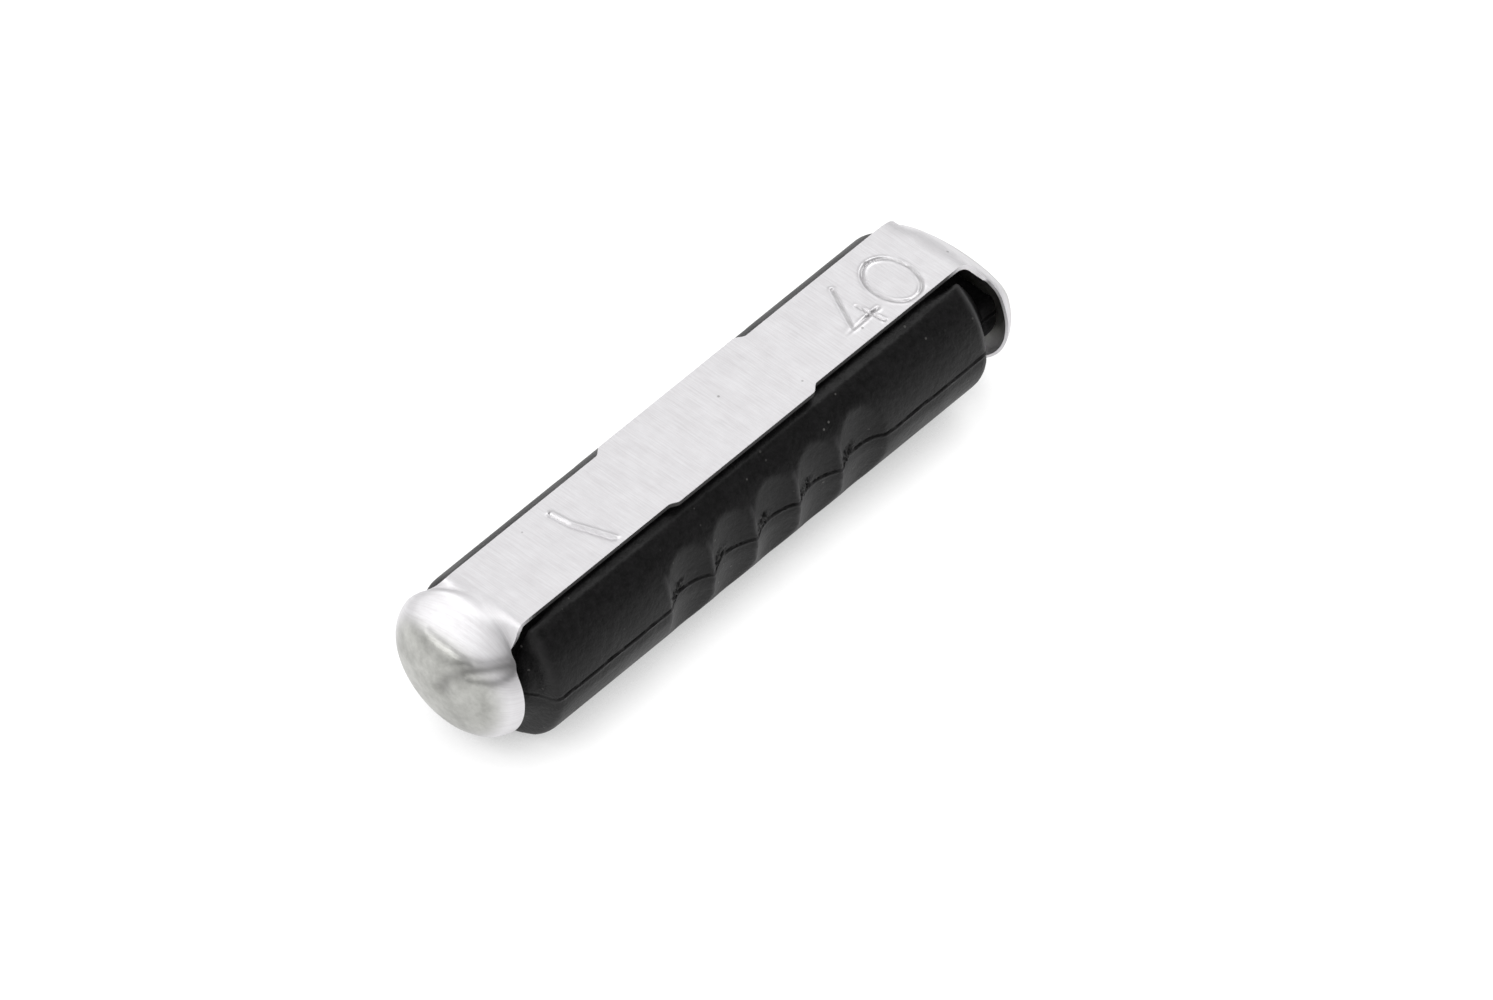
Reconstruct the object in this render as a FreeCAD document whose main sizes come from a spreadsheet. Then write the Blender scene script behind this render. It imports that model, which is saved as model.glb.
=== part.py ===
"""Torpedo-style automotive fuse of nominal 25 mm by 6 mm: a moulded insulating body and one folded metal strip.

Millimetres. X runs along the fuse, Z is up, and the origin lies under its middle, on the surface
that it rests on. The body's barrel, bevels and noses and the strip's two dished ends are turned about one axis.
"""
import FreeCAD, Part
import math
import os
import Sketcher

# Name, value and meaning of each size that can be set by itself.
SIZES = (
    ("body_diameter", 6.0, "round of the moulded body"),
    ("barrel_inset", 2.3, "from the end of the fuse back to the barrel, where its bevel starts"),
    ("bevel_length", 0.8, "bevel at each end of the barrel, along the axis"),
    ("end_edge_round", 0.3, "moulded round where the barrel meets its bevels"),
    ("rail_land_width", 0.26, "flat land along the top of the rails beside the strip"),
    ("rail_land_lean", 27.0, "outward lean of that land, degrees"),
    ("nose_diameter", 4.0, "nose that the dished end of the strip sits on"),
    ("nose_inset", 0.65, "from the end of the fuse back to the flat tip of the nose"),
    ("rest_flat_width", 1.2, "moulded flat along the underside"),
    ("channel_width", 3.16, "open channel under the strip, between the rails"),
    ("channel_floor", 0.7, "floor of the channel above the axis"),
    ("scallop_count", 5, "finger scallops on each side"),
    ("scallop_pitch", 2.02, "from one scallop to the next"),
    ("scallop_shift", 0.2, "from the middle of the body to the middle of the row of scallops"),
    ("scallop_depth", 0.36, "depth of a scallop at the parting line"),
    ("scallop_draft", 6.0, "draft of a scallop away from the parting line, degrees"),
    ("strip_gauge", 0.25, "thickness of the aluminium"),
    ("strip_height", 2.95, "upper face of the strip above the axis"),
    ("strip_wide", 3.4, "width of the strip over its middle"),
    ("strip_narrow", 2.92, "width of the strip towards its ends"),
    ("wide_length", 6.3, "middle stretch of full width"),
    ("step_length", 0.4, "slanted step between the two widths"),
    ("fuse_length", 24.8, "over the two dished ends"),
    ("fold_inset", 2.1, "from the end of the fuse back to where the strip starts to fold"),
    ("fold_radius", 0.8, "outer radius of the fold"),
    ("fold_angle", 60.0, "turn of the strip at the fold, degrees"),
    ("rim_diameter", 5.4, "rim of a dished end"),
    ("crown_radius", 5.0, "shallow round of a dished end about its middle"),
    ("knuckle_radius", 1.1, "tighter round of a dished end towards its rim"),
    ("rim_lean", 72.0, "where the knuckle stops, degrees from the axis"),
    ("seat_clearance", 0.03, "between the dished end and the nose inside it"),
    ("slant_clearance", 0.1, "between the slanted end of the strip and the top of the nose"),
)


class Size:
    """A length as it is now, together with the formula that ties it to the sheet."""

    def __init__(self, value, formula):
        self.value = value
        self.formula = formula

    def __add__(self, other):
        other = as_size(other)
        return Size(self.value + other.value, f"({self.formula} + {other.formula})")

    def __sub__(self, other):
        other = as_size(other)
        return Size(self.value - other.value, f"({self.formula} - {other.formula})")

    def __mul__(self, other):
        other = as_size(other)
        return Size(self.value * other.value, f"({self.formula} * {other.formula})")

    def __truediv__(self, other):
        other = as_size(other)
        return Size(self.value / other.value, f"({self.formula} / {other.formula})")

    def __neg__(self):
        return Size(-self.value, f"(0 - {self.formula})")


def as_size(term):
    return term if isinstance(term, Size) else Size(term, repr(term))


def root(term):
    return Size(math.sqrt(term.value), f"sqrt({term.formula})")


def sine(degrees):
    return Size(math.sin(math.radians(degrees.value)), f"sin({degrees.formula} * 1 deg)")


def cosine(degrees):
    return Size(math.cos(math.radians(degrees.value)), f"cos({degrees.formula} * 1 deg)")


doc = FreeCAD.newDocument("strip_fuse")
sheet = doc.addObject("Spreadsheet::Sheet", "sizes")
for row, (name, value, meaning) in enumerate(SIZES, start=1):
    sheet.set(f"A{row}", name)
    sheet.set(f"B{row}", str(value))
    sheet.setAlias(f"B{row}", name)
    sheet.set(f"C{row}", meaning)
doc.recompute()


def size(name):
    return Size(float(sheet.get(name)), f"sizes.{name}")


# Sizes that follow from the ones above.
body_radius = size("body_diameter") / 2
rest_flat_half = size("rest_flat_width") / 2
axis_height = root(body_radius * body_radius - rest_flat_half * rest_flat_half)
crown = size("fuse_length") / 2
barrel_end = crown - size("barrel_inset")
bevel_end = barrel_end + size("bevel_length")
nose_radius = size("nose_diameter") / 2
fold_start = crown - size("fold_inset")
rim_radius = size("rim_diameter") / 2

# A dished end is a shallow crown and a knuckle that meet in one tangent, each about a centre of its own.
crown_centre = crown - size("crown_radius")
knuckle_side = rim_radius - size("knuckle_radius") * sine(size("rim_lean"))
centre_distance = size("crown_radius") - size("knuckle_radius")
centre_offset = root(centre_distance * centre_distance - knuckle_side * knuckle_side)
knuckle_centre = crown_centre + centre_offset


def on_knuckle(radius):
    """Where a round about the knuckle's centre ends at the rim."""
    return (knuckle_centre + radius * cosine(size("rim_lean")), knuckle_side + radius * sine(size("rim_lean")))


def on_crown(radius):
    """Where a round about the crown's centre meets the knuckle."""
    share = radius / centre_distance
    return (crown_centre + centre_offset * share, knuckle_side * share)


inner_crown_radius = size("crown_radius") - size("strip_gauge")
inner_knuckle_radius = size("knuckle_radius") - size("strip_gauge")
rim = on_knuckle(size("knuckle_radius"))
inner_rim = on_knuckle(inner_knuckle_radius)

# The nose's tip is turned about the crown's centre, just inside the dished end.
seat_radius = inner_crown_radius - size("seat_clearance")
nose_tip = crown - size("nose_inset")
nose_tip_reach = nose_tip - crown_centre
nose_tip_radius = root(seat_radius * seat_radius - nose_tip_reach * nose_tip_reach)
nose_shoulder = crown_centre + root(seat_radius * seat_radius - nose_radius * nose_radius)

scallop_half = size("scallop_pitch") / 2
scallop_depth = size("scallop_depth")
scallop_radius = (scallop_half * scallop_half + scallop_depth * scallop_depth) / (scallop_depth * 2)
scallop_centre = body_radius + scallop_radius - scallop_depth
channel_side = size("channel_width") / 2
land_side = channel_side + size("rail_land_width")
land_height = root(body_radius * body_radius - land_side * land_side)
land_rise = size("rail_land_width") * sine(size("rail_land_lean")) / cosine(size("rail_land_lean"))


fold_sine = sine(size("fold_angle"))
fold_cosine = cosine(size("fold_angle"))


def past_fold(radius, run):
    """A place on the slanted end of the strip: this radius from the fold's centre, and this far past the fold."""
    across = fold_start + radius * fold_sine + run * fold_cosine
    return (across, size("strip_height") - size("fold_radius") + radius * fold_cosine - run * fold_sine)


def origin_plane(body, role):
    return next(item for item in body.Origin.OriginFeatures if item.Role == role)


def add_sketch(body, name, role):
    sketch = body.newObject("Sketcher::SketchObject", name)
    sketch.AttachmentSupport = (origin_plane(body, role), "")
    sketch.MapMode = "FlatFace"
    return sketch


def pin_point(sketch, edge, end, across, up):
    """Hold one end of an edge at a place that follows the sheet."""
    for direction, place in (("DistanceX", across), ("DistanceY", up)):
        index = sketch.addConstraint(Sketcher.Constraint(direction, -1, 1, edge, end, place.value))
        sketch.setExpression(f"Constraints[{index}]", place.formula)


def draw_outline(sketch, corners, arcs=None):
    """Draw a closed outline through the corners; arcs gives the radius of the edge after a corner.

    A positive radius bulges to the left of the way from that corner to the next, a negative one to the right.
    """
    arcs = arcs or {}
    corners = [(as_size(across), as_size(up)) for across, up in corners]
    count = len(corners)
    edges = []
    for index, (start, end) in enumerate(zip(corners, corners[1:] + corners[:1])):
        start_point = FreeCAD.Vector(start[0].value, start[1].value, 0)
        end_point = FreeCAD.Vector(end[0].value, end[1].value, 0)
        if index in arcs:
            edges.append(sketch.addGeometry(bulged_arc(start_point, end_point, arcs[index].value)))
        else:
            edges.append(sketch.addGeometry(Part.LineSegment(start_point, end_point)))
    first_end = [2 if index in arcs and arcs[index].value > 0 else 1 for index in range(count)]
    for index in range(count):
        following = (index + 1) % count
        joined = (edges[index], 3 - first_end[index], edges[following], first_end[following])
        sketch.addConstraint(Sketcher.Constraint("Coincident", *joined))
    for index, (across, up) in enumerate(corners):
        pin_point(sketch, edges[index], first_end[index], across, up)
    for index, radius in arcs.items():
        fixed = sketch.addConstraint(Sketcher.Constraint("Radius", edges[index], abs(radius.value)))
        sketch.setExpression(f"Constraints[{fixed}]", f"abs({radius.formula})")


def bulged_arc(start, end, radius):
    """The shorter arc from start to end; it bulges to the left for a positive radius."""
    chord = end - start
    left = FreeCAD.Vector(-chord.y, chord.x, 0).normalize()
    rise = math.sqrt(radius * radius - chord.Length ** 2 / 4)
    side = 1 if radius > 0 else -1
    centre = (start + end) * 0.5 - left * (side * rise)
    top = centre + left * (side * abs(radius))
    return Part.Arc(start, top, end)


def draw_circle(sketch, across, up, radius):
    centre = FreeCAD.Vector(across.value, up.value, 0)
    circle = sketch.addGeometry(Part.Circle(centre, FreeCAD.Vector(0, 0, 1), radius.value))
    pin_point(sketch, circle, 3, across, up)
    index = sketch.addConstraint(Sketcher.Constraint("Radius", circle, radius.value))
    sketch.setExpression(f"Constraints[{index}]", radius.formula)


def near(length, wanted):
    return abs(length - wanted.value) < 1e-4


def add_feature(body, kind, name, sketch, **settings):
    feature = body.newObject(f"PartDesign::{kind}", name)
    feature.Profile = sketch
    for key, value in settings.items():
        setattr(feature, key, value)
    sketch.Visibility = False
    return feature


def edges_where(shape, fits):
    return [f"Edge{index}" for index, edge in enumerate(shape.Edges, start=1) if fits(edge)]


def add_round(body, name, base, fits, radius):
    """Round the edges of the base feature that fit."""
    doc.recompute()
    feature = body.newObject("PartDesign::Fillet", name)
    feature.Base = (base, edges_where(base.Shape, fits))
    feature.setExpression("Radius", radius.formula)
    return feature


def raised(corners):
    """The corners lifted from the fuse's axis to the frame's origin."""
    return [(across, axis_height + up) for across, up in corners]


def mirrored(corners):
    return [(-across, up) for across, up in reversed(corners)]


def make_insulator_body():
    body = doc.addObject("PartDesign::Body", "insulator_body")
    body.Label = "insulator_body"

    # Barrel, bevels and noses are one turned form; each nose ends in the round that a dished end sits on.
    half = [
        (barrel_end, body_radius),
        (bevel_end, nose_radius),
        (nose_shoulder, nose_radius),
        (nose_tip, nose_tip_radius),
        (nose_tip, as_size(0)),
    ]
    profile = add_sketch(body, "turned_profile", "XZ_Plane")
    draw_outline(profile, raised(half + mirrored(half)), {2: seat_radius, 6: seat_radius})
    turned_form = add_feature(body, "Revolution", "turned_form", profile, Angle=360)
    turned_form.ReferenceAxis = (profile, ["Edge5"])

    def ends_barrel(edge):
        return near(abs(edge.CenterOfMass.x), barrel_end) and near(edge.BoundBox.YLength, body_radius * 2)

    add_round(body, "end_edges", turned_form, ends_barrel, size("end_edge_round"))

    # The channel is open at the top and at both ends. A narrow land along each rail leans out to the barrel.
    section = add_sketch(body, "channel_section", "YZ_Plane")
    floor = size("channel_floor")
    above = body_radius * 2
    right = [(channel_side, floor), (channel_side, land_height + land_rise),
             (land_side, land_height), (land_side, above)]
    draw_outline(section, raised(right + mirrored(right)))
    add_feature(body, "Pocket", "channel", section, Type="ThroughAll", SideType="Symmetric")

    # The noses are flat on top at the channel's floor, and lean down where the slanted strip passes over them.
    side = add_sketch(body, "nose_flat_side", "XZ_Plane")
    clear_radius = size("fold_radius") - size("strip_gauge") - size("slant_clearance")
    above_nose = past_fold(clear_radius, as_size(0))
    lean_start = above_nose[0] + (above_nose[1] - floor) * fold_cosine / fold_sine
    lean_end = lean_start + (floor + body_radius) * fold_cosine / fold_sine
    corners = [(bevel_end, floor), (lean_start, floor), (lean_end, -body_radius),
               (crown + body_radius, -body_radius), (crown + body_radius, above), (bevel_end, above)]
    draw_outline(side, raised(corners))
    draw_outline(side, raised(mirrored(corners)))
    add_feature(body, "Pocket", "nose_flats", side, Type="ThroughAll", SideType="Symmetric")

    section = add_sketch(body, "rest_flat_section", "YZ_Plane")
    below = -body_radius
    corners = [(below, below), (body_radius, below), (body_radius, as_size(0)), (below, as_size(0))]
    draw_outline(section, corners)
    add_feature(body, "Pocket", "rest_flat", section, Type="ThroughAll", SideType="Symmetric")

    # Facing pairs of scallops in both flanks, each drafted away from the parting line at mid height.
    plan = add_sketch(body, "scallop_plan", "XY_Plane")
    plan.setExpression("AttachmentOffset.Base.z", axis_height.formula)
    first = size("scallop_shift") - scallop_half * (size("scallop_count") - 1)
    for centre in (scallop_centre, -scallop_centre):
        draw_circle(plan, first, centre, scallop_radius)
    scallop = add_feature(body, "Pocket", "scallop", plan, SideType="Two sides")
    for depth, draft in (("Length", "TaperAngle"), ("Length2", "TaperAngle2")):
        scallop.setExpression(depth, body_radius.formula)
        scallop.setExpression(draft, size("scallop_draft").formula)
    row = body.newObject("PartDesign::LinearPattern", "scallop_row")
    row.Originals = [scallop]
    row.Direction = (plan, ["H_Axis"])
    row.Mode = "Spacing"
    row.setExpression("Offset", size("scallop_pitch").formula)
    row.setExpression("Occurrences", size("scallop_count").formula)
    body.Tip = row
    return body


def make_fuse_strip():
    """One half of the strip with its dished end, then the whole by mirroring."""
    body = doc.addObject("PartDesign::Body", "fuse_strip")
    body.Label = "fuse_strip"
    gauge = size("strip_gauge")
    top = size("strip_height")
    middle = as_size(0)

    # Side view: a straight run, a fold and a slant that runs out past the crown of the dished end.
    fold = size("fold_radius")
    inner_fold = fold - gauge
    slant_run = size("rim_diameter")
    corners = [(middle, top - gauge), (fold_start, top - gauge), past_fold(inner_fold, middle),
               past_fold(inner_fold, slant_run), past_fold(fold, slant_run), past_fold(fold, middle),
               (fold_start, top), (middle, top)]
    side = add_sketch(body, "strip_side", "XZ_Plane")
    draw_outline(side, raised(corners), {1: inner_fold, 5: fold})
    strip_form = add_feature(body, "Pad", "strip_form", side, SideType="Symmetric")
    strip_form.setExpression("Length", size("rim_diameter").formula)

    # In plan the strip is full width over its middle, narrower up to the rim, and full again in the dished end.
    wide_end = size("wide_length") / 2
    wide_side = size("strip_wide") / 2
    narrow_side = size("strip_narrow") / 2
    beyond = size("rim_diameter")
    near_edge = [(middle, -beyond), (middle, -wide_side), (wide_end, -wide_side),
                 (wide_end + size("step_length"), -narrow_side), (rim[0], -narrow_side), (rim[0], -beyond)]
    trim = add_sketch(body, "edge_plan", "XY_Plane")
    draw_outline(trim, near_edge)
    draw_outline(trim, [(across, -up) for across, up in near_edge])
    edges = add_feature(body, "Pocket", "edges", trim, Type="ThroughAll", SideType="Symmetric")

    # The slant stops at the turned outer form of the dished end.
    outer_arcs = (size("knuckle_radius"), size("crown_radius"))
    outside = [rim, on_crown(size("crown_radius")), (crown, middle)]
    trim = add_sketch(body, "slant_end_profile", "XZ_Plane")
    far_side = crown + size("rim_diameter")
    corners = outside + [(far_side, middle), (far_side, beyond), (rim[0], beyond)]
    draw_outline(trim, raised(corners), {0: outer_arcs[0], 1: outer_arcs[1]})
    slant_end = add_feature(body, "Groove", "slant_end", trim, Angle=360)
    slant_end.ReferenceAxis = (trim, ["Edge3"])

    # Turned shell of the dished end, open where the slant passes through it.
    shell = add_sketch(body, "dish_profile", "XZ_Plane")
    inside = [(crown - gauge, middle), on_crown(inner_crown_radius), inner_rim]
    draw_outline(shell, raised(outside + inside),
                 {0: outer_arcs[0], 1: outer_arcs[1], 3: -inner_crown_radius, 4: -inner_knuckle_radius})
    dish = add_feature(body, "Revolution", "dish", shell, Angle=360)
    dish.ReferenceAxis = (shell, ["Edge3"])
    above_slant = add_sketch(body, "above_slant_side", "XZ_Plane")
    start = past_fold(fold, middle)
    stop = past_fold(fold, slant_run)
    corners = [start, stop, (stop[0] + beyond, stop[1]), (stop[0] + beyond, top + beyond), (start[0], top + beyond)]
    draw_outline(above_slant, raised(corners))
    opening = add_feature(body, "Pocket", "opening", above_slant, Type="ThroughAll", SideType="Symmetric")
    half = [strip_form, edges, slant_end, dish, opening]

    whole = body.newObject("PartDesign::Mirrored", "both_ends")
    whole.Originals = half
    whole.MirrorPlane = (origin_plane(body, "YZ_Plane"), [""])
    body.Tip = whole
    return body


def check_and_write(bodies):
    doc.recompute()
    for item in doc.Objects:
        if "Invalid" in item.State or "Error" in item.State:
            raise RuntimeError(f"{item.Name} did not compute: {item.State}")
    for body in bodies:
        if body.Shape.isNull() or not body.Shape.isValid() or len(body.Shape.Solids) != 1:
            raise RuntimeError(f"{body.Label} is not one valid solid")
    os.makedirs("parts", exist_ok=True)
    for body in bodies:
        body.Shape.exportStep(f"parts/{body.Label}.step")
        box = body.Shape.BoundBox
        print(f"{body.Label}: {body.Shape.Volume:.3f} mm3, box {box.XLength:.3f} x {box.YLength:.3f} x {box.ZLength:.3f}")


check_and_write([make_insulator_body(), make_fuse_strip()])
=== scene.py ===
"""Looks of a torpedo-type automotive fuse: a black moulded insulator, and a bare aluminium strip that lies along its
channel and is pressed into a cap over each end."""
import math
from contextlib import contextmanager
from dataclasses import dataclass

import bmesh
import bpy
import numpy as np
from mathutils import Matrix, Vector, noise


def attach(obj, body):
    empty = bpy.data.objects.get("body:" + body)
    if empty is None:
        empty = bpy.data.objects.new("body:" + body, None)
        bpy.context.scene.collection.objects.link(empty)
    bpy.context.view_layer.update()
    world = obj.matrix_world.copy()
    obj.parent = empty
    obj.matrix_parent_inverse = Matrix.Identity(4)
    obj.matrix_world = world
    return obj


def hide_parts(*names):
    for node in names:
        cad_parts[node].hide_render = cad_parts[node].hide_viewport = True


MM = 0.001
AXIS = 2.9394         # the fuse's own axis above the surface that it rests on, mm
STRIP_TOP = 2.95      # upper face of the strip above that axis, mm
GAUGE = 0.17          # thickness of the aluminium as it shows at its sheared edges, mm

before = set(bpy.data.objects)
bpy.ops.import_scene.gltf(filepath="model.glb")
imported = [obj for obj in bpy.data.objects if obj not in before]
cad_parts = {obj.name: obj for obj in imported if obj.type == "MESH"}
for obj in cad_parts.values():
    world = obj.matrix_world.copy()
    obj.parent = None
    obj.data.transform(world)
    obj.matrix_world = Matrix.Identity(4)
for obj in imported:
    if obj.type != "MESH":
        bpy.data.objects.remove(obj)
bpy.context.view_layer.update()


# Materials. The scale of a pattern is given as how many times it repeats in a millimetre, over MM.

COLOUR_MIX = {"data_type": "RGBA"}
SHARE, FIRST, SECOND, MIXED = 0, 6, 7, 2                # a colour mix's inputs and its output, by place
NOISE_SPAN = {"From Min": 0.3, "From Max": 0.7}         # nearly all of a noise's values lie between these


def linear(hex_colour):
    """An sRGB hex colour as the linear values that a shader takes."""
    parts = [int(hex_colour[place:place + 2], 16) / 255 for place in (1, 3, 5)]
    return [part / 12.92 if part <= 0.04045 else ((part + 0.055) / 1.055) ** 2.4 for part in parts] + [1.0]


def add_node(tree, kind, settings=(), values=(), links=()):
    """Add a node with its settings, then the numbers and the links of its inputs, each by name or by place."""
    node = tree.nodes.new(kind)
    for name, value in dict(settings).items():
        setattr(node, name, value)
    for key, value in dict(values).items():
        node.inputs[key].default_value = value
    for key, source in dict(links).items():
        tree.links.new(source, node.inputs[key])
    return node


def blank_material(name):
    """A new material with an empty node tree."""
    material = bpy.data.materials.new(name)
    material.use_nodes = True
    tree = material.node_tree
    tree.nodes.clear()
    return material, tree


def make_black_moulded_plastic():
    """Black glass-filled nylon as moulded: near black and satin, with a fine spark-eroded pebble and a little dust."""
    material, tree = blank_material("black_moulded_nylon")
    place = add_node(tree, "ShaderNodeTexCoord").outputs["Object"]
    # The pebble is about 0.1 mm across. It is drawn at 0.25 mm, so that it shows. It mottles the black a little.
    pebble = add_node(tree, "ShaderNodeTexNoise", {}, {"Scale": 4 / MM, "Detail": 3.0, "Roughness": 0.7},
                      {"Vector": place})
    mottle = add_node(tree, "ShaderNodeMapRange", {}, NOISE_SPAN, {"Value": pebble.outputs["Fac"]})
    black = add_node(tree, "ShaderNodeMix", COLOUR_MIX, {FIRST: linear("#0c0c0c"), SECOND: linear("#262526")},
                     {SHARE: mottle.outputs["Result"]})
    # Crests and end edges are painted paler: a painted highlight for the light streaks on the crests and the light band
    # along the end edges.
    painted_highlight = add_node(tree, "ShaderNodeAttribute", {"attribute_name": "painted_highlight"})
    wear_and_painted_highlight = add_node(tree, "ShaderNodeMix", COLOUR_MIX, {SECOND: linear("#545354")},
                    {SHARE: painted_highlight.outputs["Fac"], FIRST: black.outputs[MIXED]})
    # Dust settles as single specks, nearly 0.1 mm across and half a millimetre apart. It keeps to patches of 1.4 mm
    # and leaves most of the body clean.
    speck = add_node(tree, "ShaderNodeTexVoronoi", {}, {"Scale": 2 / MM}, {"Vector": place})
    dust = add_node(tree, "ShaderNodeMapRange", {}, {"From Min": 0.06, "From Max": 0.11, "To Min": 1.0, "To Max": 0.0},
                    {"Value": speck.outputs["Distance"]})
    lie = add_node(tree, "ShaderNodeTexNoise", {}, {"Scale": 0.7 / MM, "Detail": 2.0}, {"Vector": place})
    patch = add_node(tree, "ShaderNodeMapRange", {}, {"From Min": 0.48, "From Max": 0.6, "To Max": 0.8},
                     {"Value": lie.outputs["Fac"]})
    dusty = add_node(tree, "ShaderNodeMath", {"operation": "MULTIPLY"}, {},
                     {0: dust.outputs["Result"], 1: patch.outputs["Result"]})
    colour = add_node(tree, "ShaderNodeMix", COLOUR_MIX, {SECOND: linear("#8c8a88")},
                      {SHARE: dusty.outputs[0], FIRST: wear_and_painted_highlight.outputs[MIXED]})
    # Flow and cooling leave faint clouds of about 2 mm in the gloss.
    cloud = add_node(tree, "ShaderNodeTexNoise", {}, {"Scale": 0.5 / MM, "Detail": 3.0, "Roughness": 0.6},
                     {"Vector": place})
    rough = add_node(tree, "ShaderNodeMapRange", {}, {**NOISE_SPAN, "To Min": 0.42, "To Max": 0.54},
                     {"Value": cloud.outputs["Fac"]})
    bump = add_node(tree, "ShaderNodeBump", {}, {"Strength": 1.0, "Distance": 0.03 * MM},
                    {"Height": pebble.outputs["Fac"]})
    shader = add_node(tree, "ShaderNodeBsdfPrincipled", {}, {"IOR": 1.5, "Specular IOR Level": 0.24},
                      {"Base Color": colour.outputs[MIXED], "Roughness": rough.outputs["Result"],
                       "Normal": bump.outputs["Normal"]})
    add_node(tree, "ShaderNodeOutputMaterial", links={"Surface": shader.outputs["BSDF"]})
    return material


def make_rolled_aluminium():
    """Rolled aluminium strip, brushed across its width: pale and soft, greyer and mottled on the pressed ends, where
    the grey is painted shade.
    """
    material, tree = blank_material("rolled_brushed_aluminium")
    sheet_place = add_node(tree, "ShaderNodeUVMap", {"uv_map": "sheet"}).outputs["UV"]
    place = add_node(tree, "ShaderNodeTexCoord").outputs["Object"]
    # The map is in metres along and across the sheet. The brush lines are 0.06 mm apart and run some 1.5 mm across it.
    stretched = add_node(tree, "ShaderNodeMapping", {}, {"Scale": (16 / MM, 0.7 / MM, 1.0)}, {"Vector": sheet_place})
    brushed = add_node(tree, "ShaderNodeTexNoise", {"noise_dimensions": "2D"},
                       {"Scale": 1.0, "Detail": 4.0, "Roughness": 0.7}, {"Vector": stretched.outputs["Vector"]})
    # Rolling leaves patches of some 0.7 mm that are a little duller.
    patchy = add_node(tree, "ShaderNodeTexNoise", {}, {"Scale": 1.5 / MM, "Detail": 4.0, "Roughness": 0.6},
                      {"Vector": place})
    tone = add_node(tree, "ShaderNodeMath", {"operation": "MULTIPLY_ADD"}, {1: 1.6},
                    {0: brushed.outputs["Fac"], 2: patchy.outputs["Fac"]})
    share = add_node(tree, "ShaderNodeMapRange", {}, {"From Min": 0.9, "From Max": 1.7}, {"Value": tone.outputs[0]})
    bright = add_node(tree, "ShaderNodeMix", COLOUR_MIX, {FIRST: linear("#dedcde"), SECOND: linear("#ecebed")},
                      {SHARE: share.outputs["Result"]})
    # Beyond 11.5 mm from the middle the dished ends turn greyer, which is painted shade for the darker surroundings
    # that they reflect, and smoother.
    along = add_node(tree, "ShaderNodeSeparateXYZ", {}, {}, {"Vector": place})
    outward = add_node(tree, "ShaderNodeMath", {"operation": "ABSOLUTE"}, {}, {0: along.outputs["X"]})
    pressed = add_node(tree, "ShaderNodeMapRange", {"interpolation_type": "SMOOTHSTEP"},
                       {"From Min": 11.5 * MM, "From Max": 12 * MM}, {"Value": outward.outputs[0]})
    smear = add_node(tree, "ShaderNodeTexNoise", {}, {"Scale": 1.1 / MM, "Detail": 4.0, "Roughness": 0.7},
                     {"Vector": place})
    smeared = add_node(tree, "ShaderNodeMapRange", {}, NOISE_SPAN, {"Value": smear.outputs["Fac"]})
    painted_end_shade = add_node(tree, "ShaderNodeMix", COLOUR_MIX, {FIRST: linear("#a0a09c"), SECOND: linear("#c6c6c2")},
                    {SHARE: smeared.outputs["Result"]})
    metal = add_node(tree, "ShaderNodeMix", COLOUR_MIX, {},
                     {SHARE: pressed.outputs["Result"], FIRST: bright.outputs[MIXED], SECOND: painted_end_shade.outputs[MIXED]})
    # A few dark pits, about 0.1 mm across.
    pit = add_node(tree, "ShaderNodeTexVoronoi", {}, {"Scale": 0.9 / MM}, {"Vector": place})
    pitted = add_node(tree, "ShaderNodeMapRange", {},
                      {"From Min": 0.03, "From Max": 0.055, "To Min": 0.5, "To Max": 0.0},
                      {"Value": pit.outputs["Distance"]})
    speckled = add_node(tree, "ShaderNodeMix", COLOUR_MIX, {SECOND: linear("#6a6866")},
                        {SHARE: pitted.outputs["Result"], FIRST: metal.outputs[MIXED]})
    # Painted shade darkens the left end's valley, and the figures are greyed with the same colour.
    figure_grey_and_valley_shade = add_node(tree, "ShaderNodeAttribute", {"attribute_name": "figure_grey_and_valley_shade"})
    greyed_and_shaded = add_node(tree, "ShaderNodeMix", COLOUR_MIX, {SECOND: linear("#6e6d6b")},
                     {SHARE: figure_grey_and_valley_shade.outputs["Fac"], FIRST: speckled.outputs[MIXED]})
    # The sheared edges are torn and keep no brush lines. They are painted darker, which is painted shade on their side
    # faces.
    painted_edge_shade = add_node(tree, "ShaderNodeAttribute", {"attribute_name": "painted_edge_shade"})
    colour = add_node(tree, "ShaderNodeMix", COLOUR_MIX, {SECOND: linear("#4c4b4b")},
                      {SHARE: painted_edge_shade.outputs["Fac"], FIRST: greyed_and_shaded.outputs[MIXED]})
    rough = add_node(tree, "ShaderNodeMapRange", {}, {"To Min": 0.5, "To Max": 0.38},
                     {"Value": pressed.outputs["Result"]})
    bump = add_node(tree, "ShaderNodeBump", {}, {"Strength": 0.5, "Distance": 0.01 * MM},
                    {"Height": brushed.outputs["Fac"]})
    shader = add_node(tree, "ShaderNodeBsdfPrincipled", {}, {"Metallic": 1.0},
                      {"Base Color": colour.outputs[MIXED], "Roughness": rough.outputs["Result"],
                       "Normal": bump.outputs["Normal"]})
    add_node(tree, "ShaderNodeOutputMaterial", links={"Surface": shader.outputs["BSDF"]})
    return material


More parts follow.
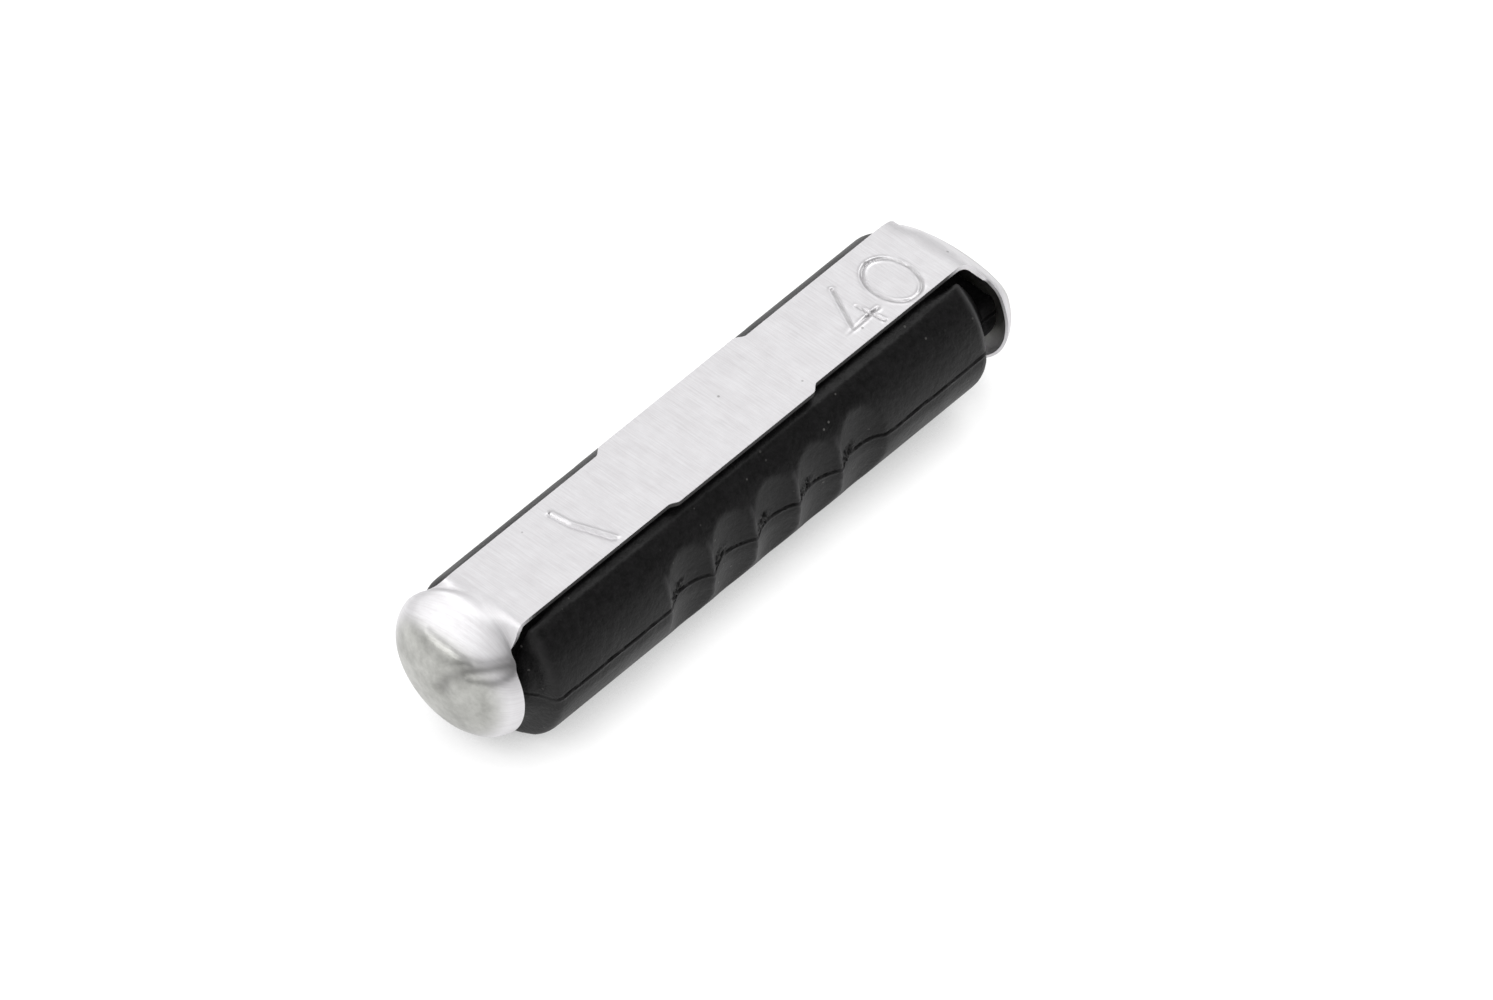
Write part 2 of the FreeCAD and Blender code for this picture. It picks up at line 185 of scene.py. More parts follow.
def make_white_board():
    """A matt white board: plain white wherever it is seen, directly or in a reflection, with a soft contact shadow."""
    material, tree = blank_material("matt_white_board")
    diffuse = add_node(tree, "ShaderNodeBsdfDiffuse", {}, {"Color": linear("#909090")})
    # The glow that makes it white gives way to the shadow within 2 mm of the fuse.
    open_sky = add_node(tree, "ShaderNodeAmbientOcclusion", {"samples": 4}, {"Distance": 2 * MM})
    level = add_node(tree, "ShaderNodeMapRange", {}, {"From Max": 0.6, "To Min": 0.3, "To Max": 0.93},
                     {"Value": open_sky.outputs["AO"]})
    glow = add_node(tree, "ShaderNodeEmission", {}, {}, {"Strength": level.outputs["Result"]})
    both = add_node(tree, "ShaderNodeAddShader", {}, {}, {0: diffuse.outputs["BSDF"], 1: glow.outputs["Emission"]})
    # Only rays that see the board meet its glow. As a source of diffuse light it stays a grey one.
    rays = add_node(tree, "ShaderNodeLightPath").outputs
    seen = add_node(tree, "ShaderNodeMath", {"operation": "MAXIMUM"}, {},
                    {0: rays["Is Camera Ray"], 1: rays["Is Glossy Ray"]})
    seen_too = add_node(tree, "ShaderNodeMath", {"operation": "MAXIMUM"}, {},
                        {0: seen.outputs[0], 1: rays["Is Transmission Ray"]})
    choice = add_node(tree, "ShaderNodeMixShader", {}, {},
                      {0: seen_too.outputs[0], 1: diffuse.outputs["BSDF"], 2: both.outputs[0]})
    add_node(tree, "ShaderNodeOutputMaterial", links={"Surface": choice.outputs[0]})
    return material


# Shared mesh work

def add_object(name, data):
    """A new object with this data, in the scene."""
    item = bpy.data.objects.new(name, data)
    bpy.context.scene.collection.objects.link(item)
    return item


@contextmanager
def edited(mesh):
    """The mesh opened for editing. It is written back afterwards."""
    bm = bmesh.new()
    bm.from_mesh(mesh)
    yield bm
    bm.to_mesh(mesh)
    bm.free()


def make_grid(name, columns, rows, reach):
    """A flat mesh of columns by rows of faces, which reaches this far from its middle on each side."""
    mesh = bpy.data.meshes.new(name)
    with edited(mesh) as bm:
        bmesh.ops.create_grid(bm, x_segments=columns, y_segments=rows, size=reach)
    return mesh


def take_result(worker):
    """The worker's mesh with its modifiers applied. The worker is removed."""
    bpy.context.view_layer.update()
    mesh = bpy.data.meshes.new_from_object(worker.evaluated_get(bpy.context.evaluated_depsgraph_get()))
    bpy.data.objects.remove(worker)
    return mesh


def read_points(mesh):
    """The mesh's points as rows of x, y and z."""
    flat = np.empty(len(mesh.vertices) * 3)
    mesh.vertices.foreach_get("co", flat)
    return flat.reshape(-1, 3)


def write_points(mesh, points):
    """Move the mesh's points to these rows of x, y and z."""
    mesh.vertices.foreach_set("co", points.reshape(-1))
    mesh.update()


def smooth_step(value, low, high):
    """Nought up to low and 1 from high, with an eased rise between."""
    share = np.clip((value - low) / (high - low), 0.0, 1.0)
    return share * share * (3 - 2 * share)


def bell(distance, half_width):
    """1 where the distance is nought, dying away past the half width."""
    return np.exp(-(distance / half_width) ** 2)


def lesser(first, second, blend):
    """The lesser of two values, rounded over where they are closer than the blend."""
    share = np.clip(0.5 + 0.5 * (second - first) / blend, 0.0, 1.0)
    return second + (first - second) * share - blend * share * (1 - share)


def along_way(points, way):
    """For each point, its distance from a drawn way and which side of it the point lies on."""
    nearest = np.full(len(points), np.inf)
    side = np.zeros(len(points))
    for start, stop in zip(way[:-1], way[1:]):
        start, stop = np.array(start), np.array(stop)
        run = stop - start
        share = np.clip((points - start) @ run / (run @ run), 0, 1)
        apart = points - start - share[:, None] * run
        distance = np.hypot(*apart.T)
        closer = distance < nearest
        nearest = np.where(closer, distance, nearest)
        side = np.where(closer, np.sign(run[0] * apart[:, 1] - run[1] * apart[:, 0]), side)
    return nearest, side


def finish_piece(name, mesh, material, node):
    """Make a visible piece of the mesh, in the place of its CAD node."""
    piece = add_object(name, mesh)
    mesh.materials.clear()
    mesh.materials.append(material)
    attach(piece, "root")
    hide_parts(node)
    return piece


# The strip, worked from a flat blank as the real one is. Its sizes are in millimetres: along the fuse from its middle,
# to the far side, and up from its axis.

@dataclass(frozen=True)
class PressedEnd:
    """One folded and dished end of the strip, measured outwards from the middle of the fuse."""
    sides: tuple                    # the strip's near and far edge where the fold starts
    fold_start: float               # how far out the fold starts
    fold_angle: float               # how steeply the slant runs down after the fold, radians
    rim_radius: float               # the dish, from its middle to its rim
    crown: float                    # how far out the middle of the dish lies
    rim_lean: float                 # how steep the knuckle has become at the rim, radians
    neck_fall: tuple                # how much further in the slant's near and far edges lie than its middle
    blend: float                    # how far the slant and the dish are rounded into each other
    shift: tuple                    # how far the dish sits off the axis, to the far side and up
    skew: float                     # how much further out the slant lies for each mm to the far side
    creases: tuple                  # buckles in the dish: the way of each, its depth and its half width
    fold_radius: float = 1.1
    crown_radius: float = 5.0
    knuckle_radius: float = 1.1

    @property
    def arc_drop(self):
        """How far the fold itself comes down."""
        return self.fold_radius * (1 - math.cos(self.fold_angle))

    def turn_at(self, drop):
        """How far the fold has turned where it has come down by this drop, radians."""
        return np.arccos(np.clip(1 - np.minimum(drop, self.arc_drop) / self.fold_radius, -1, 1))

    def slant(self, up):
        """How far out the folded strip lies at this height."""
        drop = np.maximum(STRIP_TOP - up, 0.0)
        along = self.fold_start + self.fold_radius * np.sin(self.turn_at(drop))
        return along + np.maximum(drop - self.arc_drop, 0.0) / math.tan(self.fold_angle)

    def neck_length(self, up):
        """The length along the fold and the slant at which they come down to this height."""
        drop = STRIP_TOP - up
        past = np.maximum(drop - self.arc_drop, 0.0) / math.sin(self.fold_angle)
        return self.fold_radius * self.turn_at(drop) + past

    def neck_path(self, length):
        """Along the fold and down the slant by this length: distance out and height."""
        turn = np.minimum(length / self.fold_radius, self.fold_angle)
        past = np.maximum(length - self.fold_radius * self.fold_angle, 0.0)
        out = self.fold_start + self.fold_radius * np.sin(turn) + past * math.cos(self.fold_angle)
        return out, STRIP_TOP - self.fold_radius * (1 - np.cos(turn)) - past * math.sin(self.fold_angle)

    def dish(self, radius):
        """How far out the dished end lies at this radius: a shallow crown that turns into a tighter knuckle."""
        knuckle_reach = self.knuckle_radius * math.sin(self.rim_lean)
        knuckle_side = self.rim_radius - knuckle_reach
        apart = self.crown_radius - self.knuckle_radius
        offset = math.sqrt(apart ** 2 - knuckle_side ** 2)
        meeting = knuckle_side * self.crown_radius / apart
        crown_centre = self.crown - self.crown_radius
        on_crown = crown_centre + np.sqrt(self.crown_radius ** 2 - np.minimum(radius, meeting) ** 2)
        beyond = np.clip(radius - knuckle_side, 0.0, knuckle_reach)
        on_knuckle = crown_centre + offset + np.sqrt(self.knuckle_radius ** 2 - beyond ** 2)
        return np.where(radius < meeting, on_crown, on_knuckle)

    def form_disc(self, station, across, fall):
        """The dished disc. It is a square blank worked round, so that no point of it is pinched."""
        shift_side, shift_up = self.shift
        down = np.clip(3 - 2 * station, -1, 1)
        side = self.rim_radius * across * np.sqrt(1 - down ** 2 / 2)
        up = self.rim_radius * down * np.sqrt(1 - across ** 2 / 2)
        dish = self.dish(np.hypot(side, up))
        side, up = side + shift_side, up + shift_up
        out = lesser(dish, self.slant(up) - fall + self.skew * side, self.blend)
        for way, depth, half_width in self.creases:
            distance, _ = along_way(np.stack([side, up], -1), way)
            out = out - depth * bell(distance, half_width)
        return np.stack([out, side, up])

    def form_neck(self, station, across, fall):
        """The fold and the slant, which flare out to the upper corners of the disc."""
        least_drop, flare_power, skew_from = 0.02, 2.2, 0.6
        shift_side, shift_up = self.shift
        corner_side = self.rim_radius * across * math.sqrt(0.5) + shift_side
        foot = np.minimum(self.rim_radius * np.sqrt(1 - across ** 2 / 2) + shift_up, STRIP_TOP - least_drop)
        share = np.clip(station, 0, 1)
        out, up = self.neck_path(share * self.neck_length(foot))
        flare = share ** flare_power
        side = np.interp(across, (-1, 1), self.sides) * (1 - flare) + corner_side * flare
        slant = out - fall * smooth_step(share, 0.0, 1.0) + self.skew * side * smooth_step(share, 0.0, skew_from)
        out = lesser(self.dish(np.hypot(side - shift_side, up - shift_up)), slant, self.blend)
        return np.stack([out, side, up])

    def form(self, station, across):
        """Place the end of the blank: station 0..1 is the neck, 1..2 the dished disc; across runs from -1 to 1."""
        near_fall, far_fall = self.neck_fall
        fall = np.where(across < 0, near_fall, far_fall) * across ** 2
        return np.where(station >= 1, self.form_disc(station, across, fall), self.form_neck(station, across, fall))


# The left end's valley, to the far side and up: it runs from the near notch to the middle of the dish.
VALLEY = [(-1.8, 1.72), (-1.42, 1.56), (-0.6, 1.25), (-0.15, 0.8), (0.15, 0.2)]
LEFT_END = PressedEnd(
    sides=(-1.62, 1.49), fold_start=10.2, fold_angle=math.radians(47.0), rim_radius=2.68, crown=12.33,
    rim_lean=math.radians(78.0), neck_fall=(0.5, 0.5), blend=0.3, shift=(0.3, 0.22), skew=0.04,
    # The metal buckled where the fold meets the dish, and in the wider valley, with a low ridge under that.
    creases=(
        ([(1.15, 1.72), (0.1, 1.66), (-0.8, 1.55)], 0.028, 0.06),
        (VALLEY, 0.12, 0.22),
        ([(-0.75, 0.7), (-0.35, 0.3)], -0.04, 0.08)))
RIGHT_END = PressedEnd(
    sides=(-1.55, 1.49), fold_start=10.2, fold_angle=math.radians(50.0), rim_radius=2.68, crown=12.5,
    rim_lean=math.radians(72.0), neck_fall=(0.2, 0.5), blend=0.5, shift=(-0.1, 0.1), skew=0.0, creases=())

FLAT_START, FLAT_STOP = -LEFT_END.fold_start, RIGHT_END.fold_start
WIDE_SIDES = (-1.78, 1.7)                   # near and far edge of the wide middle part
WIDE_END, STEP_END = 3.15, 3.55             # where the step at each end of that part starts and stops
CORNER_DROP, CORNER_PLACE = 0.12, 10.75     # how far the far corner of the right fold is drawn down, and where

# The grid's rows run across the strip, close under the figures and at the two ends. For the flat part, each pair is
# where the spacing changes and how many rows there are up to the next such place.
FLAT_ROWS = ((FLAT_START, 22), (-7.0, 52), (-5.2, 8), (-3.8, 14), (-2.9, 24), (2.9, 14), (3.8, 10), (6.0, 136))
LEFT_DISC_ROWS, NECK_ROWS, RIGHT_DISC_ROWS = 76, 18, 64
FACES_ACROSS = 88


def oval(centre, half_width, half_height, count=40):
    """A closed way round an upright oval."""
    turns = np.linspace(0, 2 * math.pi, count + 1)
    return [(centre[0] + half_width * math.cos(t), centre[1] + half_height * math.sin(t)) for t in turns]


# The pressed rating: plain figures, as strokes in the plane of the strip.
RATING_STROKES = (
    [(6.87, 0.79), (6.06, -0.86)],
    [(6.06, -0.86), (7.26, -0.83)],
    [(6.85, -0.26), (7.01, -1.35)],
    oval((8.47, -0.34), 0.8, 1.08),
)
GROOVE_DEPTH, GROOVE_WIDTH = 0.045, 0.05                # of each stroke, to its half width
LIP_HEIGHT, LIP_WIDTH, LIP_PLACE = 0.018, 0.04, 0.1     # of the metal thrown up on either side of a stroke
# A shallow bent press line near the left end. The metal sinks on one side of it and rises on the other.
PRESS_LINE = [(-6.33, 0.85), (-6.24, 0.12), (-5.93, -0.72), (-5.67, -1.45)]
PRESS_DEPTH, PRESS_WIDTH = 0.1, 0.09


def press_marks(points):
    """How deep each point of the strip's upper face is pressed in by the figures and the press line."""
    plan = points[:, :2]
    depth = np.zeros(len(points))
    for stroke in RATING_STROKES:
        distance, _ = along_way(plan, stroke)
        groove = bell(distance, GROOVE_WIDTH) * GROOVE_DEPTH
        lip = bell(distance - LIP_PLACE, LIP_WIDTH) * -LIP_HEIGHT
        depth = np.where(abs(groove + lip) > abs(depth), groove + lip, depth)
    # The figures are worn, so they come and go along their strokes.
    wear_and_painted_highlight = np.array([noise.noise(Vector((2.2 * x, 2.2 * y, 7.0))) for x, y in plan[depth != 0]])
    depth[depth != 0] *= np.clip(0.75 + 1.3 * wear_and_painted_highlight, 0.3, 1.4)
    distance, side = along_way(plan, PRESS_LINE)
    depth -= bell(distance, PRESS_WIDTH) * PRESS_DEPTH * side * distance / PRESS_WIDTH
    # Every mark stops just short of the strip's edges.
    return depth * smooth_step(LEFT_END.sides[1] - abs(plan[:, 1]), 0.04, 0.2)


def lay_out_blank():
    """The blank as a grid, with the station of each of its points and its place across from -1 to 1.

    The stations run from 0 at the left fold to 1 at the right one. Each neck and each disc beyond takes one more."""
    places, flat_rows = zip(*FLAT_ROWS)
    stations = [-2, -1, *((place - FLAT_START) / (FLAT_STOP - FLAT_START) for place in places), 1, 2, 3]
    rows = [LEFT_DISC_ROWS, NECK_ROWS, *flat_rows, NECK_ROWS, RIGHT_DISC_ROWS]
    lines = np.concatenate([[0], np.cumsum(rows)])
    mesh = make_grid("strip", int(lines[-1]), FACES_ACROSS, 1.0)
    flat = read_points(mesh)
    return mesh, np.interp((flat[:, 0] + 1) / 2 * lines[-1], lines, stations), flat[:, 1]


def shape_strip(station, along, across):
    """Where each point of the blank comes to lie once it is pressed, folded and dished."""
    wide = 1 - smooth_step(abs(along), WIDE_END, STEP_END)
    near, far = np.where(along < 0, np.array(LEFT_END.sides)[:, None], np.array(RIGHT_END.sides)[:, None])
    near, far = near + (WIDE_SIDES[0] - near) * wide, far + (WIDE_SIDES[1] - far) * wide
    side = near + (far - near) * (across + 1) / 2
    points = np.stack([along, side, np.full_like(along, STRIP_TOP)], -1)
    in_flat = abs(station - 0.5) < 0.5
    points[:, 2] -= press_marks(points) * in_flat
    for end, way, past in ((LEFT_END, -1, -station), (RIGHT_END, 1, station - 1)):
        here = past > 0
        out, side, up = end.form(past[here], across[here])
        points[here] = np.stack([way * out, side, up], -1)
    points[:, 2] -= CORNER_DROP * bell(points[:, 0] - CORNER_PLACE, 0.5) * smooth_step(across, 0.3, 1.0)
    return points


def figure_grey_and_valley_shade_on(points):
    """How much each point of the strip is darkened: painted shade in the left end's valley, and a grey in the figures.
    """
    figure_grey_and_valley_shade = np.zeros(len(points))
    in_plan, in_end_view = points[:, :2], points[:, 1:]
    for here, view, ways, share, reach in ((points[:, 0] > 5, in_plan, RATING_STROKES, 0.3, 0.045),
                                           (points[:, 0] < -10.6, in_end_view, [VALLEY], 0.55, 0.24)):
        for way in ways:
            distance, _ = along_way(view[here], way)
            figure_grey_and_valley_shade[here] = np.maximum(figure_grey_and_valley_shade[here], share * bell(distance, reach))
    return figure_grey_and_valley_shade


def thicken(mesh, points):
    """Give the strip its gauge, downwards and inwards. The press irons the right end's rim thin."""
    worker = add_object("worker", mesh)
    around = np.hypot(points[:, 1], points[:, 2])
    ironed = 0.4 * smooth_step(around, 1.6, 2.5) * smooth_step(points[:, 0], 10.9, 11.3)
    group = worker.vertex_groups.new(name="gauge")
    for spot, left_over in enumerate(1 - ironed):
        group.add([spot], left_over, "REPLACE")
    gauge = worker.modifiers.new("gauge", "SOLIDIFY")
    gauge.thickness = GAUGE * MM
    gauge.offset = -1
    gauge.vertex_group = "gauge"
    return take_result(worker)


def make_strip():
    """The strip: a gridded blank that is pressed, folded, dished and given its gauge."""
    end_run = 3.4       # length of the blank that each station past the folds stands for, mm
    mesh, station, across = lay_out_blank()
    along = FLAT_START + np.clip(station, 0, 1) * (FLAT_STOP - FLAT_START)
    points = shape_strip(station, along, across)
    write_points(mesh, (points + (0, 0, AXIS)) * MM)

    run = along + np.minimum(station, 0) * end_run + np.maximum(station - 1, 0) * end_run
    with edited(mesh) as bm:
        # Painted shade in the left end's valley, and a grey in the figures.
        figure_grey_and_valley_shade_layer = bm.verts.layers.float.new("figure_grey_and_valley_shade")
        for vert, value in zip(bm.verts, figure_grey_and_valley_shade_on(points)):
            vert[figure_grey_and_valley_shade_layer] = value
        # The map of the sheet: metres along and across the blank.
        sheet = bm.loops.layers.uv.new("sheet")
        for face in bm.faces:
            for loop in face.loops:
                spot = loop.vert.index
                loop[sheet].uv = (run[spot] * MM, points[spot, 1] * MM)
        bmesh.ops.recalc_face_normals(bm, faces=bm.faces[:])
        top = max(bm.faces, key=lambda face: face.calc_center_median().z)
        if top.normal.z < 0:
            bmesh.ops.reverse_faces(bm, faces=bm.faces[:])

    mesh = thicken(mesh, points)
    with edited(mesh) as bm:
        # The strip's sheared edges face sideways and are painted darker, which is painted shade. Over the folds that
        # painted shade fades out.
        painted_edge_shade = bm.faces.layers.float.new("painted_edge_shade")
        for face in bm.faces:
            face.smooth = True
            outward = abs(face.calc_center_median().x) / MM
            face[painted_edge_shade] = float(1 - smooth_step(outward, 9.7, 10.5)) * (abs(face.normal.z) < 0.3)
    mesh.set_sharp_from_angle(angle=math.radians(40))
    return finish_piece("aluminium_strip", mesh, make_rolled_aluminium(), "fuse_strip")


# The moulded body, in millimetres too, but with its height from the surface that it rests on

GRID = 0.092                                    # spacing of the body's grid
BARREL_RADIUS, BARREL_END = 3.0, 10.1           # the barrel, and where its end bevels start
SCALLOP_FIRST, SCALLOP_PITCH = -4.85, 2.02      # left side of the row of scallops, and from one to the next
SCALLOP_COUNT = 5
ROW_MIDDLE, ROW_REACH = 0.2, 5.3                # the stretch where the torn flash needs a closer grid
PARTING = 0.15                                  # height of the mould's parting line above the axis
PARTING_WANDER = 0.05                           # how far the line strays up and down
LOWER_HALF_FULLER = 0.04                        # how much further out the lower half of the mould lies
FLASH, FLASH_ROUGH = 0.02, 0.14                 # how far the torn flash stands out, and how much that varies
NOSE_START, NOSE_FULL = 10.15, 10.5             # where the left nose starts to be slimmer, and is
NOSE_SLIMMER, NOSE_SHORTER = 0.08, 0.2          # the shares by which it is slimmer and shorter

# The rails' section, to the side and up from the axis: the foot of the channel's wall, and the inner and outer edge of
# the rail's land, as they are in the solid and as they become.
RAIL_FOOT = np.array([1.58, 1.75])
INNER_WAS, INNER = np.array([1.58, 2.509]), np.array([1.38, 2.58])
OUTER_WAS, OUTER = np.array([1.812, 2.391]), np.array([1.8, 2.4])
RAIL_FADE, RAIL_END = 8.4, 9.8                  # where along the body the new section starts to fade, and is gone
EDGE_CATCH, RAIL_CATCH = 0.05, 0.15             # how near a grid point has to be to be drawn to an edge, or a face


def true_rails(points):
    """Redraw the gridded rails with crisp edges: channel wall, a land that leans in under the strip, and barrel."""
    side, up = abs(points[:, 1]), points[:, 2] - AXIS
    here = (side > 1.35) & (side < 2.5) & (up > 1.75) & (up < 2.75) & (abs(points[:, 0]) < RAIL_END)
    place = np.stack([side[here], up[here]], -1)
    choices, targets = [], []
    for start, stop, new_start, new_stop in ((RAIL_FOOT, INNER_WAS, RAIL_FOOT, INNER),
                                             (INNER_WAS, OUTER_WAS, INNER, OUTER)):
        run = stop - start
        share = np.clip((place - start) @ run / (run @ run), 0, 1)[:, None]
        choices.append(start + share * run)
        targets.append(new_start + share * (new_stop - new_start))
    barrel = place * (BARREL_RADIUS / np.hypot(*place.T))[:, None]
    barrel[barrel[:, 0] < OUTER[0]] = OUTER
    choices.append(barrel)
    targets.append(barrel)
    distances = np.hypot(*(np.stack(choices) - place).transpose(2, 0, 1))
    nearest = np.stack(targets)[distances.argmin(0), np.arange(len(place))]
    for was, edge in ((INNER_WAS, INNER), (OUTER_WAS, OUTER)):
        nearest[np.hypot(*(place - was).T) < EDGE_CATCH] = edge
    nearest = np.where(distances.min(0)[:, None] < RAIL_CATCH, nearest, place)
    fade = smooth_step(abs(points[here, 0]), RAIL_FADE, RAIL_END)[:, None]
    nearest = nearest * (1 - fade) + place * fade
    points[here, 1] = np.sign(points[here, 1]) * nearest[:, 0]
    points[here, 2] = nearest[:, 1] + AXIS


def slim_left_nose(points):
    """Make the left nose a little slimmer and shorter, so that it stands clear inside its buckled end."""
    nose = smooth_step(-points[:, 0], NOSE_START, NOSE_FULL)
    points[:, 0] += nose * NOSE_SHORTER * (-NOSE_START - points[:, 0])
    points[:, 1] *= 1 - NOSE_SLIMMER * nose
    points[:, 2] = AXIS + (points[:, 2] - AXIS) * (1 - NOSE_SLIMMER * nose)


def on_flank(points):
    """1 on the barrel's flanks, fading out towards the underside, and nought on the rails."""
    return smooth_step(abs(points[:, 1]), 1.5, 1.9) * (points[:, 2] - AXIS < 1.6)


def scallop_phase(points):
    """How far along its own scallop each point lies, from nought at the left crest to 1 at the right one."""
    return ((points[:, 0] - SCALLOP_FIRST) / SCALLOP_PITCH) % 1.0


def painted_highlight_on(points):
    """How strongly each point is painted paler as a highlight: the crests between the scallops, and the barrel's end
    edges, more at the right end.
    """
    along, up = points[:, 0], points[:, 2] - AXIS
    phase = scallop_phase(points)
    crest = bell(np.minimum(phase, 1 - phase) * SCALLOP_PITCH, 0.08) * on_flank(points)
    crest = crest * (1 - smooth_step(up, 1.2, 1.55)) * (0.35 + 0.65 * smooth_step(up, -1.3, 0.3))
    crest = crest * (along > SCALLOP_FIRST - 0.2) * (along < SCALLOP_FIRST + (SCALLOP_COUNT - 0.5) * SCALLOP_PITCH)
    end_edge = np.where(along > 0, 0.8, 0.3) * bell(abs(along) - BARREL_END, 0.13)
    end_edge = end_edge * smooth_step(np.hypot(points[:, 1], up), 2.4, 2.8)
    return np.maximum(crest, end_edge)


def add_parting_line(points):
    """Raise the mould's parting line, the fuller half under it, and torn flash beside each scallop's left wall."""
    side, up = points[:, 1], points[:, 2] - AXIS
    around = np.hypot(side, up)
    wander = [PARTING_WANDER * noise.noise(Vector((1.3 * x, 0.3 * np.sign(y), 4.0))) for x, y, _ in points]
    above = up - PARTING - np.array(wander)
    step = bell(above - 0.02, 0.04) * -0.035 + bell(above + 0.06, 0.045) * 0.03
    fuller = LOWER_HALF_FULLER * smooth_step(-above, 0.0, 0.5)
    in_row = (points[:, 0] > SCALLOP_FIRST) & (points[:, 0] < SCALLOP_FIRST + SCALLOP_COUNT * SCALLOP_PITCH)
    phase = scallop_phase(points)
    torn = in_row * smooth_step(phase, 0.04, 0.1) * (1 - smooth_step(phase, 0.3, 0.55))
    torn = torn * smooth_step(above, -0.05, 0.02) * (1 - smooth_step(above, 0.3, 0.6))
    outer = on_flank(points)
    rough = np.zeros(len(points))
    for spot in np.nonzero(torn * outer > 0.02)[0]:
        rough[spot] = noise.noise(Vector(points[spot]) * 5.0) + 0.6 * noise.noise(Vector(points[spot]) * 11.0)
    grow = outer * (step + fuller + torn * (FLASH + FLASH_ROUGH * rough))
    points[:, 1] += side / around * grow
    points[:, 2] += up / around * grow


def needs_close_grid(vert):
    """Whether a point of the body lies by the parting line, or by the torn flash in the row of scallops."""
    above = vert.co.z - AXIS - PARTING
    in_row = abs(vert.co.x - ROW_MIDDLE) < ROW_REACH
    return abs(vert.co.y) > 1.6 and -0.2 < above < (0.5 if in_row else 0.2)


def grid_body():
    """A merged copy of the body's solid in millimetres, gridded finely and with its edges softened as moulding does."""
    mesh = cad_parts["insulator_body"].data.copy()
    with edited(mesh) as bm:
        bmesh.ops.remove_doubles(bm, verts=bm.verts[:], dist=0.001 * MM)
        bmesh.ops.scale(bm, vec=(1 / MM,) * 3, verts=bm.verts[:])
    worker = add_object("worker", mesh)
    remesh = worker.modifiers.new("even_grid", "REMESH")
    remesh.mode = "VOXEL"
    remesh.voxel_size = GRID
    softened = worker.modifiers.new("moulded_edges", "SMOOTH")
    softened.factor = 0.5
    softened.iterations = 2
    mesh = take_result(worker)
    with edited(mesh) as bm:
        close = [edge for edge in bm.edges if all(needs_close_grid(vert) for vert in edge.verts)]
        bmesh.ops.subdivide_edges(bm, edges=close, cuts=1, use_grid_fill=True)
    return mesh


def make_body():
    """The moulded body: its solid on a fine grid, with crisp rails, its parting line and a painted highlight on its
    crests and end edges.
    """
    mesh = grid_body()
    points = read_points(mesh)
    true_rails(points)
    slim_left_nose(points)
    # Painted highlight on the crests and the end edges, kept for the material.
    mesh.attributes.new("painted_highlight", "FLOAT", "POINT").data.foreach_set("value", painted_highlight_on(points))
    add_parting_line(points)
    write_points(mesh, points * MM)
    mesh.shade_smooth()
    mesh.set_sharp_from_angle(angle=math.radians(50))
    return finish_piece("moulded_body", mesh, make_black_moulded_plastic(), "insulator_body")


# Studio, in metres and watts

BOARD_REACH = 3.0
SOFTBOX_SIZE = 0.3
# One softbox overhead and one low behind the left end, which lights its fold: name, place and power.
SOFTBOXES = (("overhead_softbox", (0.25, 0.01, 0.54), 0.95), ("low_softbox", (-0.385, 0.27, 0.37), 0.85))


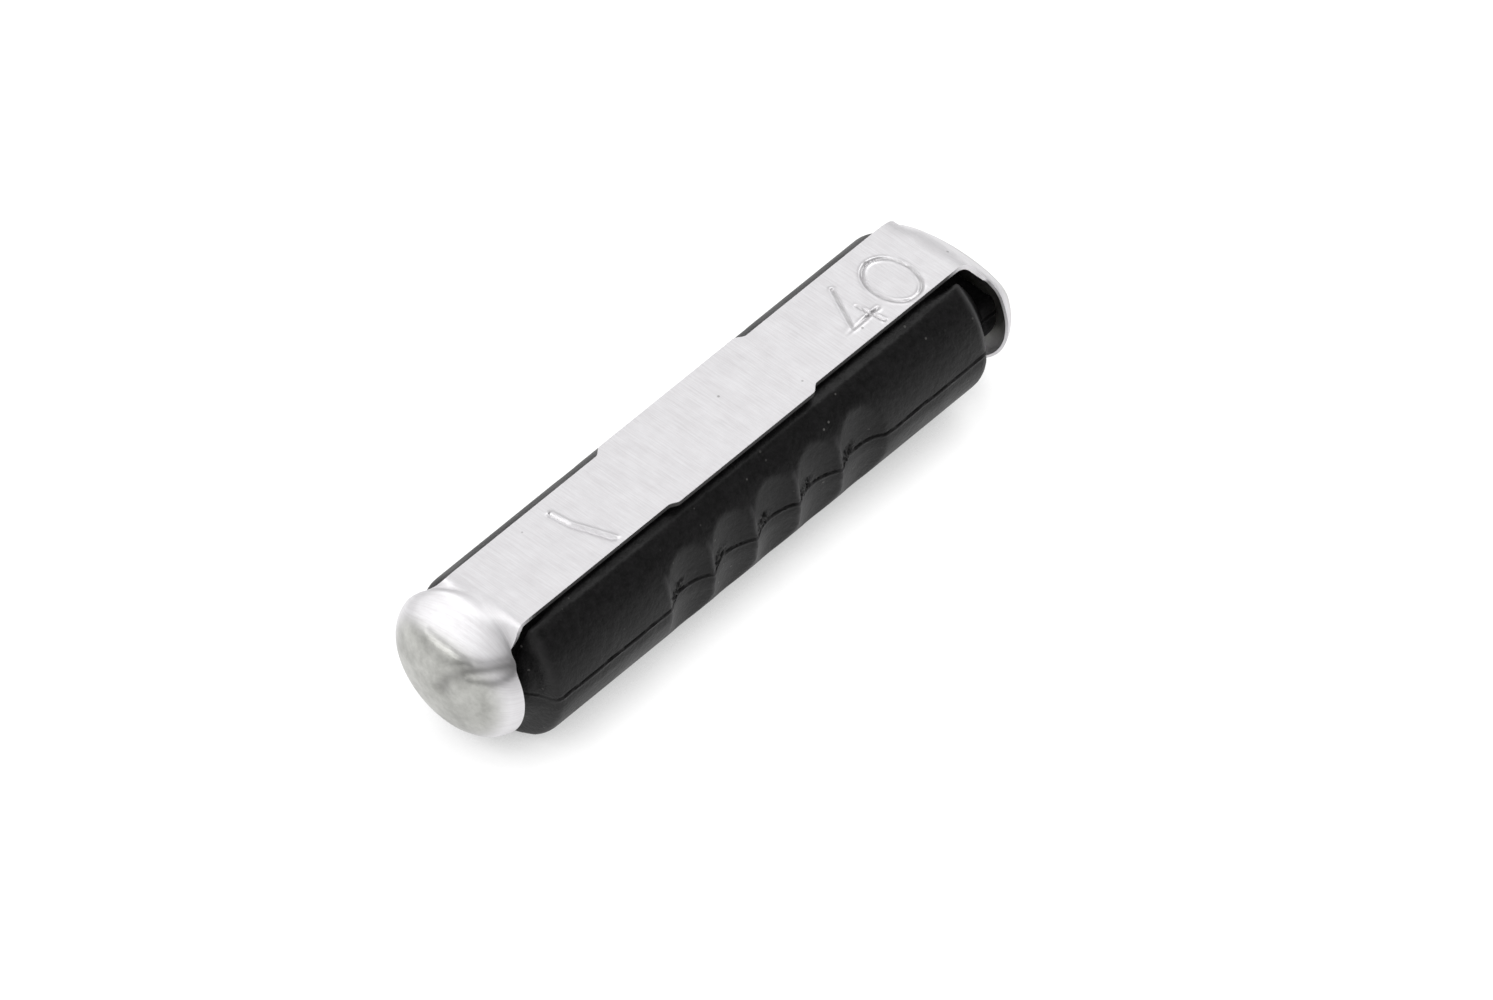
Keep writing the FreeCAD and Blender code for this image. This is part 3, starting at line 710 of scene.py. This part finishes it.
def make_studio():
    """The board that the fuse lies on, the walls around it and the lamps."""
    mesh = make_grid("board", 1, 1, BOARD_REACH)
    mesh.materials.append(make_white_board())
    board = add_object("board", mesh)

    world = bpy.data.worlds.new("studio")
    bpy.context.scene.world = world
    world.use_nodes = True
    tree = world.node_tree
    tree.nodes.clear()
    # The walls are pale behind the fuse and overhead, and fall off to grey on the side that the camera stands on.
    way = add_node(tree, "ShaderNodeTexCoord").outputs["Generated"]
    lean = add_node(tree, "ShaderNodeVectorMath", {"operation": "DOT_PRODUCT"}, {1: (0.0, 0.85, 0.53)}, {0: way})
    level = add_node(tree, "ShaderNodeMapRange", {"interpolation_type": "SMOOTHSTEP"},
                     {"From Min": -0.25, "From Max": 0.4, "To Min": 0.15, "To Max": 0.78},
                     {"Value": lean.outputs["Value"]})
    light = add_node(tree, "ShaderNodeBackground", {}, {}, {"Strength": level.outputs["Result"]})
    add_node(tree, "ShaderNodeOutputWorld", links={"Surface": light.outputs["Background"]})

    for name, place, power in SOFTBOXES:
        lamp = bpy.data.lights.new(name, "AREA")
        lamp.size = SOFTBOX_SIZE
        lamp.energy = power
        softbox = add_object(name, lamp)
        softbox.location = place
        softbox.rotation_euler = Vector(place).to_track_quat("Z", "Y").to_euler()


CAMERA_AZIMUTH, CAMERA_ELEVATION = math.radians(-47.8), math.radians(47.5)
CAMERA_DISTANCE = 0.65                          # from its aim, m
FOCAL_LENGTH, SENSOR_WIDTH = 491.35, 36.0       # mm
AIM_HEIGHT = 3.0                                # above the board, mm, before the two shifts across the picture
AIM_RIGHT, AIM_BELOW = 1.295, 0.6275            # mm


def make_camera():
    """The photograph's view: from the left end's side, 47.5 degrees up, through a long lens."""
    level = math.cos(CAMERA_ELEVATION)
    back = Vector((math.sin(CAMERA_AZIMUTH) * level, -math.cos(CAMERA_AZIMUTH) * level, math.sin(CAMERA_ELEVATION)))
    right = Vector((math.cos(CAMERA_AZIMUTH), math.sin(CAMERA_AZIMUTH), 0))
    up = back.cross(right)
    aim = (Vector((0, 0, AIM_HEIGHT)) + AIM_RIGHT * right - AIM_BELOW * up) * MM
    lens = bpy.data.cameras.new("camera")
    lens.sensor_fit = "HORIZONTAL"
    lens.sensor_width = SENSOR_WIDTH
    lens.lens = FOCAL_LENGTH
    lens.clip_start, lens.clip_end = 0.05, 20.0
    camera = add_object("camera", lens)
    camera.location = aim + CAMERA_DISTANCE * back
    camera.rotation_euler = back.to_track_quat("Z", "Y").to_euler()
    bpy.context.scene.camera = camera


make_camera()
make_studio()
make_body()
make_strip()
bpy.context.scene.view_settings.view_transform = "Standard"
